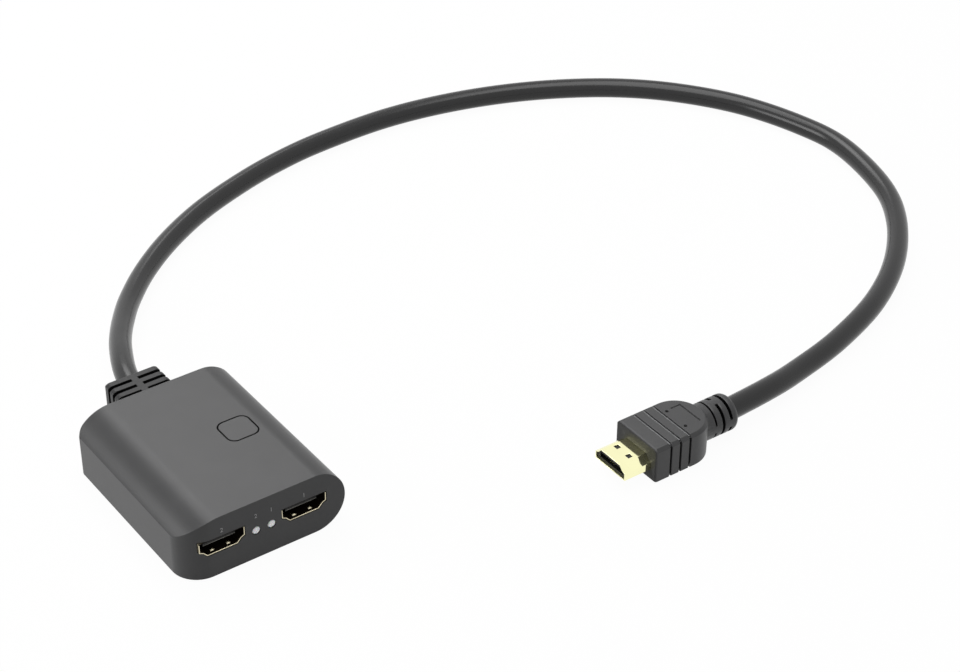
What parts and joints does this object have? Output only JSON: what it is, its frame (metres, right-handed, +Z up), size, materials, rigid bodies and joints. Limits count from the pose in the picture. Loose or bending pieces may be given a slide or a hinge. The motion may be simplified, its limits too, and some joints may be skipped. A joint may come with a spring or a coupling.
{
  "type": "hdmi switch box",
  "caption": "Small HDMI switch box with input sockets and status lights on the front, a push button on top, and a captive output cable that ends in a moulded plug.",
  "frame": {"origin": "on the table under the middle of the box, at its bottom face", "axes": "+Z up; the input sockets face -Y and the cable leaves at +Y; +X is to the right as seen from the front"},
  "size_m": [0.3121, 0.2236, 0.02],
  "materials": {
    "housing_plastic": "dark grey moulded plastic with a fine satin texture",
    "button_plastic": "dark grey satin plastic, as the housing",
    "screw_steel": "blackened steel",
    "board_laminate": "green solder mask",
    "black_plastic": "black insulating plastic",
    "terminal_metal": "tinned metal",
    "lens_plastic": "milky translucent plastic",
    "light_plastic": "pale light source body",
    "gold_plate": "bright pale gold plating",
    "chip_resin": "black moulding resin",
    "capacitor_ceramic": "tan ceramic",
    "cable_vinyl": "dark grey soft vinyl with a low sheen",
    "grip_vinyl": "dark grey moulded vinyl",
    "wire_insulation": "grey wire insulation",
    "core_plastic": "pale inner moulding"
  },
  "bodies": {
    "box": {"top_cover": "housing_plastic", "bottom_cover": "housing_plastic", "housing_screws": "screw_steel", "circuit_board": "board_laminate", "switch_base": "black_plastic", "switch_plate": "terminal_metal", "switch_dome": "terminal_metal", "switch_terminals": "terminal_metal", "light_lens_1": "lens_plastic", "light_lens_2": "lens_plastic", "light_sources": "light_plastic", "socket_1_shell": "gold_plate", "socket_1_block": "black_plastic", "socket_1_contacts": "gold_plate", "socket_2_shell": "gold_plate", "socket_2_block": "black_plastic", "socket_2_contacts": "gold_plate", "switch_chip": "chip_resin", "power_regulator": "chip_resin", "clock_crystal": "terminal_metal", "capacitors": "capacitor_ceramic", "resistors": "chip_resin", "strain_relief": "cable_vinyl", "cable_wires": "wire_insulation", "cable": "cable_vinyl", "plug_shell": "gold_plate", "plug_block": "black_plastic", "plug_contacts": "gold_plate", "plug_core": "core_plastic", "plug_grip": "grip_vinyl"},
    "button": {"select_button": "button_plastic"},
    "plunger": {"switch_plunger": "black_plastic"}
  },
  "joints": [
    {"name": "button_press", "type": "slide", "parent": "box", "child": "button", "axis": [0, 0, -1], "range_m": [0, 0.0004], "stiffness_N_per_m": 1500},
    {"name": "plunger_press", "type": "slide", "parent": "box", "child": "plunger", "axis": [0, 0, -1], "range_m": [0, 0.0004], "deforming": ["switch_dome"]}
  ],
  "couplings": [
    {"joint": "plunger_press", "follows": "button_press", "ratio": 1}
  ]
}
